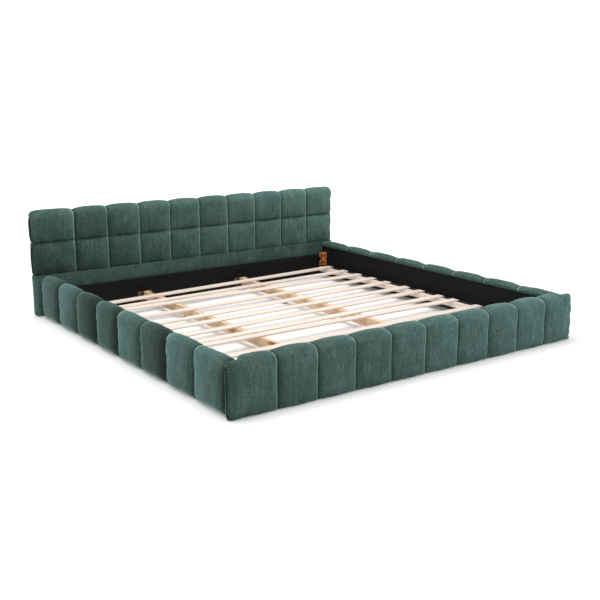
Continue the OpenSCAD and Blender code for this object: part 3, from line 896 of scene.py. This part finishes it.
def headboard_tufts(name, node, bottom, top, rolls_over, tones):
    """One row of tufts. The upper row rolls over the headboard's top, the lower ends in a seam."""
    low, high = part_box(node)
    panel_low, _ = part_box("headboard_panel")
    frame_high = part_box("headboard_frame")[1]
    face = low.y + TUFT_DEPTH
    back = high.y
    inside = panel_low.y - FIT_GAP
    edges = cross_edges(high.x)

    def rise(z):
        """The tuft's swell up its height: 0 in the seams, and full where it rolls over the top."""
        t = (z - bottom) / (top - bottom)
        up = swell(t, TUFT_POWER)
        return np.where(t < 0.5, up, 1.0) if rolls_over else up

    def pinch(z):
        return TUFT_PINCH * (1 - rise(z))

    if rolls_over:
        seam_top = top - TUFT_BACK_ROUND
        corners = [(back, seam_top - 0.030, 0, 0.0), (back, seam_top, TUFT_BACK_ROUND, 0.5),
                   (face, seam_top, TUFT_ROLL, 1.0)]
        lid = frame_high.z + FIT_GAP
        middle = (bottom + lid) / 2
        solid_back = [(face + 0.008, bottom + FIT_GAP), (back - 0.01, bottom + FIT_GAP),
                      (back, bottom + 0.01), (back, middle), (back, lid - 0.03)]
        pocket_back = [(inside, bottom + FIT_GAP), (inside, middle), (inside, lid),
                       (back - 0.004, lid), (back - 0.001, lid)]
    else:
        corners = [(face + SEAM_LIP, top + SEAM_LAP, 0, 0.0), (face, top + SEAM_LAP, 0, 0.0)]
        middle = (bottom + top) / 2
        solid_back = [(face + 0.008, bottom + FIT_GAP), (back - 0.004, bottom + FIT_GAP),
                      (back, bottom + 0.008), (back, middle), (back, top - 0.008),
                      (back - 0.004, top - FIT_GAP), (face + 0.008, top - FIT_GAP)]
        pocket_back = [(inside, z) for z in (bottom + FIT_GAP, bottom + 0.004, bottom + 0.02,
                                             middle, top - 0.02, top - 0.004, top - FIT_GAP)]
    corners += [(face, bottom - SEAM_LAP, 0, 0.0), (face + SEAM_LIP, bottom - SEAM_LAP, 0, 0.0)]
    points, normals, swells = outline(corners, -1)
    on_face = points[:, 0] < face + 0.0005
    swells = np.where(on_face, rise(points[:, 1]), swells)
    swells[[0, -1]] = 0
    flat = on_face & (points[:, 1] < top - TUFT_ROLL)
    normals = np.where(flat[:, None], [[-1.0, 0.0]], normals)

    piece = cross_pad(name, node, lambda x: (points, normals, swells),
                      lambda x, solid, draw: np.array(solid_back if solid else pocket_back),
                      edges, frame_high.x, TUFT_DEPTH, painted_channel_tones(*tones), HEAD_PUFF,
                      HEAD_END_ROUND, TUFT_DOME, pinch)
    x, _, z = points_of(piece.data).T
    add_painted_light(piece, tuft_sheen(x, z, edges, bottom, top))
    # The distance to the seams between the rows too, for the puckers and the painted seam shade
    to_mid_seam = np.maximum(np.abs(z - MID_SEAM) - SEAM_LAP, 0)
    across = np.minimum(to_mid_seam, np.abs(z - LOW_SEAM))
    put_attribute(piece, "seam_gap", np.minimum(floats_of(piece.data, "seam_gap"), across))


def base_band():
    """The flat band of the headboard under the tufts, down to the floor."""
    low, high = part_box("headboard_base_pad")
    panel_low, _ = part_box("headboard_panel")
    frame_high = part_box("headboard_frame")[1]
    face = low.y + BASE_FACE
    inside = panel_low.y - FIT_GAP
    section = outline([
        (face + 0.010, high.z, 0, 0.0),
        (face, high.z, 0.004, 0.3),
        (face, low.z, 0.012, 1.0),
        (face + 0.014, low.z, 0, 0.0),
    ], -1)
    solid_back = [(face + 0.02, low.z), (high.y - 0.004, low.z), (high.y, low.z + 0.01),
                  (high.y, 0.13), (high.y, high.z - 0.01), (high.y - 0.004, high.z - FIT_GAP),
                  (face + 0.02, high.z - FIT_GAP)]
    pocket_back = [(inside, z) for z in (low.z + 0.001, low.z + 0.01, low.z + 0.05, 0.13,
                                         high.z - 0.05, high.z - 0.01, high.z - FIT_GAP)]
    cross_pad("headboard_base_cover", "headboard_base_pad", lambda x: section,
              lambda x, solid, draw: np.array(solid_back if solid else pocket_back),
              np.array([-high.x, high.x]), frame_high.x, BASE_DEPTH, np.array([BASE_TONE]),
              BASE_PUFF, BASE_END_ROUND, BASE_DOME)


# ---------------------------------------------------------------- simulation and finish of the pads

def inflate_pads():
    """Blows the covers up between their pinned seams, and keeps each point's move in a cap."""
    scene = bpy.context.scene
    scene.frame_start, scene.frame_end = 1, SIM_FRAMES
    before = {}
    for piece, _ in soft_pieces:
        before[piece.name] = points_of(piece.data)
        cloth = piece.modifiers.new("cloth", "CLOTH")
        for key, value in CLOTH.items():
            setattr(cloth.settings, key, value)
        cloth.settings.effector_weights.gravity = 0
        cloth.collision_settings.use_collision = False
        cloth.point_cache.frame_end = SIM_FRAMES
    for step in range(1, SIM_FRAMES + 1):
        scene.frame_set(step)
    graph = bpy.context.evaluated_depsgraph_get()
    for piece, cap in soft_pieces:
        after = points_of(piece.evaluated_get(graph).data)
        move = after - before[piece.name]
        length = np.linalg.norm(move, axis=1)
        capped = np.where(length > NO_MOVE, cap * np.tanh(length / cap), 0)
        scale = capped / np.maximum(length, NO_MOVE)
        piece.modifiers.clear()
        set_points(piece.data, before[piece.name] + move * scale[:, None])
    scene.frame_set(1)


def finish_pad(piece):
    """Subdivides a cover, gathers it into small puckers beside its seams and dresses it."""
    smooth = piece.modifiers.new("smooth", "SUBSURF")
    smooth.levels = smooth.render_levels = 1
    graph = bpy.context.evaluated_depsgraph_get()
    mesh = bpy.data.meshes.new_from_object(piece.evaluated_get(graph))
    piece.modifiers.clear()
    piece.data = mesh
    piece.vertex_groups.clear()
    for polygon in mesh.polygons:
        polygon.use_smooth = True
    points = points_of(mesh)
    normals = np.zeros(len(mesh.vertices) * 3, np.float32)
    mesh.vertices.foreach_get("normal", normals)
    normals = normals.reshape(-1, 3)
    gap = floats_of(mesh, "seam_gap")
    shown = np.clip(floats_of(mesh, "shown"), 0, 1)
    near = np.exp(-(gap / PUCKER_REACH) ** 2) * (1 - np.exp(-(gap / PUCKER_CLEAR) ** 2))
    lift = np.zeros(len(points))
    for i in np.flatnonzero(shown > 0):
        x, y, z = points[i]
        fold = noise.noise(Vector((x * 8, y * 8, z * 42)))
        broad = noise.noise(Vector((x * 9 + 3, y * 9, z * 11)))
        lift[i] = shown[i] * (PUCKER_HEIGHT * near[i] * fold + WAVE_HEIGHT * broad)
    set_points(mesh, points + normals * lift[:, None])
    mesh.materials.clear()
    mesh.materials.append(materials["velvet"])


# ---------------------------------------------------------------- linings and the back cover

def finish_sheet(piece, node, slot):
    for polygon in piece.data.polygons:
        polygon.use_smooth = True
    piece.data.materials.append(materials[slot])
    if slot == "velvet":
        vertices = len(piece.data.vertices)
        put_attribute(piece, "shade", np.full(vertices, BACK_TONE))
        put_attribute(piece, "seam_gap", np.full(vertices, NO_SEAM))
    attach(piece, "root")
    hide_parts(node)


def stretched_sheet(name, node, facing, across, up, face, slot):
    """A thin cloth stretched over a board, a little slack between its staples."""
    low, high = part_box(node)
    width, height = (high - low)[across], (high - low)[up]
    columns, rows = int(width / SHEET_COLUMN), max(6, int(height / SHEET_ROW))
    shown_face, hidden_face = (high[face], low[face]) if facing > 0 else (low[face], high[face])
    points, faces = [], []
    for layer in (0, 1):
        for r in range(rows + 1):
            for c in range(columns + 1):
                u, v = c / columns, r / rows
                place = [0.0, 0.0, 0.0]
                place[across] = low[across] + width * u
                place[up] = low[up] + height * v
                slack = max(0.0, math.sin(math.pi * v)) ** 0.5
                ripple = noise.noise(Vector((place[across] * 6, place[up] * 22, facing * 3.1)))
                tuck = SHEET_TUCK * math.exp(-((1 - v) * height / SHEET_TUCK_REACH) ** 2)
                front = shown_face + facing * (slack * (SHEET_SLACK + SHEET_RIPPLE * ripple)
                                               - tuck - SHEET_INSET)
                place[face] = front if layer == 0 else hidden_face + facing * SHEET_BACK
                points.append(place)
    stride = (rows + 1) * (columns + 1)
    for r in range(rows):
        for c in range(columns):
            a = r * (columns + 1) + c
            quad = (a, a + 1, a + columns + 2, a + columns + 1)
            faces.append(quad)
            faces.append(tuple(stride + i for i in reversed(quad)))
    rim = ([(c, 0) for c in range(columns)] + [(columns, r) for r in range(rows)]
           + [(c, rows) for c in range(columns, 0, -1)] + [(0, r) for r in range(rows, 0, -1)])
    rim = [r * (columns + 1) + c for c, r in rim]
    for a, b in zip(rim, rim[1:] + rim[:1]):
        faces.append((b, a, stride + a, stride + b))
    finish_sheet(soft_object(name, points, faces), node, slot)


def head_rail_wrap():
    """The black lining of the head's cross rail: up its front and over its top."""
    low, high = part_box("head_rail_lining")
    front, top = low.y + SHEET_BACK, high.z - SHEET_BACK
    turns = [(front + WRAP_ROUND * (1 - math.cos(a)), top - WRAP_ROUND * (1 - math.sin(a)))
             for a in np.linspace(0, math.pi / 2, 6)]
    rises = [(front, z) for z in np.linspace(low.z, top - WRAP_ROUND, 12)[:-1]]
    runs = [(y, top) for y in np.linspace(front + WRAP_ROUND, high.y, 4)[1:]]
    path = np.array(rises + turns + runs)
    heading = np.gradient(path, axis=0)
    heading /= np.linalg.norm(heading, axis=1)[:, None]
    outwards = np.stack([-heading[:, 1], heading[:, 0]], axis=1)
    inner = path - outwards * WRAP_THICK
    slack = np.clip((path[:, 1] - low.z) / WRAP_RIPPLE_REACH, 0, 1) * WRAP_RIPPLE
    stations = np.linspace(low.x, high.x, 70)
    rings = np.zeros((len(stations), len(path) * 2, 3))
    for ring, x in zip(rings, stations):
        ripple = np.array([noise.noise(Vector((x * 6, p[0] * 22, p[1] * 22))) for p in path])
        outer = path + outwards * (ripple * slack)[:, None]
        ring[:, 0] = x
        ring[:, 1:] = np.concatenate([outer, inner[::-1]])
    finish_sheet(loft("head_lining_cloth", rings), "head_rail_lining", "lining")


def make_sheets():
    x, y, z = 0, 1, 2
    stretched_sheet("left_lining_cloth", "left_rail_lining", 1, y, z, x,
                    "lining")
    stretched_sheet("right_lining_cloth", "right_rail_lining", -1, y, z, x,
                    "lining")
    stretched_sheet("foot_lining_cloth", "foot_lining", 1, x, z, y,
                    "lining")
    stretched_sheet("headboard_back_cloth", "headboard_back_cover", 1, x, z, y,
                    "velvet")
    head_rail_wrap()


# ---------------------------------------------------------------- carried-over CAD nodes

def dress_cad_nodes():
    for node, part in frame["nodes"].items():
        material = materials[OWN_MATERIAL.get(node, SLOT_OF_NODE[node])]
        part.data.materials.clear()
        part.data.materials.append(material)
        if SLOT_OF_NODE[node] in EDGE_OF_SLOT:
            edge = part.modifiers.new("eased edges", "BEVEL")
            edge.width, edge.segments = EDGE_OF_SLOT[SLOT_OF_NODE[node]], 2
            edge.limit_method, edge.angle_limit = "ANGLE", math.radians(EASED_ANGLE)


def main():
    make_camera()
    make_studio()
    dress_cad_nodes()
    for side in (-1, 1):
        rail_pad(side)
    foot_pad()
    head_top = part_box("headboard_upper_pad")[1].z
    headboard_tufts("headboard_upper_cover", "headboard_upper_pad", MID_SEAM, head_top, True,
                    UPPER_TONES)
    headboard_tufts("headboard_lower_cover", "headboard_lower_pad", LOW_SEAM, MID_SEAM, False,
                    LOWER_TONES)
    base_band()
    inflate_pads()
    for piece, _ in soft_pieces:
        finish_pad(piece)
    make_sheets()


materials = make_materials()
main()
